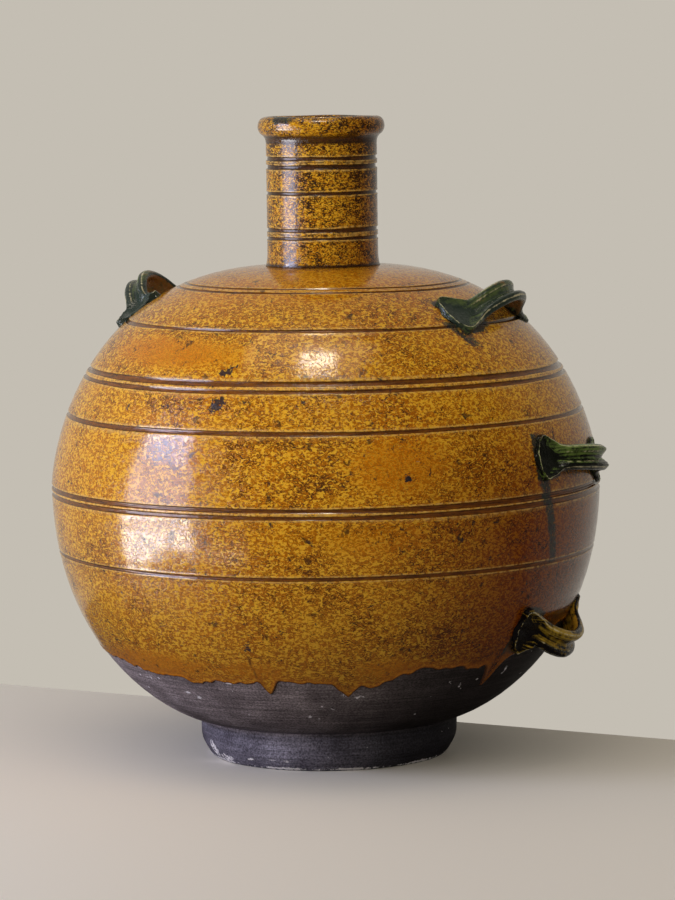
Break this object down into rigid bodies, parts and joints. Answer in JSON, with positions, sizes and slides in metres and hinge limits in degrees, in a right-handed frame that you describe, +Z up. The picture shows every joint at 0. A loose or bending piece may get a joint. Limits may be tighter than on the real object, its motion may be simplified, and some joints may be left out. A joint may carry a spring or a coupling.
{
  "type": "glazed clay flask",
  "caption": "Large round-bodied glazed clay flask with a narrow ringed neck, rolled lip, turned foot ring and strap lugs for a carrying rope.",
  "frame": {"origin": "centre of the foot ring's contact face, on the turning axis and on the standing surface", "axes": "+Z up along the turning axis; the two columns of lugs are at +X and -X; +Y is towards the back"},
  "size_m": [0.4369, 0.4, 0.466],
  "materials": {
    "bare_grey_clay": "matt fired clay",
    "amber_glaze_over_dark_clay": "glossy glaze ending in runs over bare clay",
    "amber_glaze": "glossy speckled glaze",
    "speckled_amber_glaze": "glossy glaze, heavily speckled",
    "green_black_glaze": "glossy dark glaze"
  },
  "bodies": {
    "root": {"foot_ring": "bare_grey_clay", "lower_bowl": "amber_glaze_over_dark_clay", "upper_bowl": "amber_glaze", "neck": "speckled_amber_glaze", "lug_right_upper": "green_black_glaze", "lug_right_middle": "green_black_glaze", "lug_right_lower": "green_black_glaze", "lug_left_upper": "green_black_glaze", "lug_left_middle": "green_black_glaze", "lug_left_lower": "green_black_glaze"}
  },
  "joints": []
}
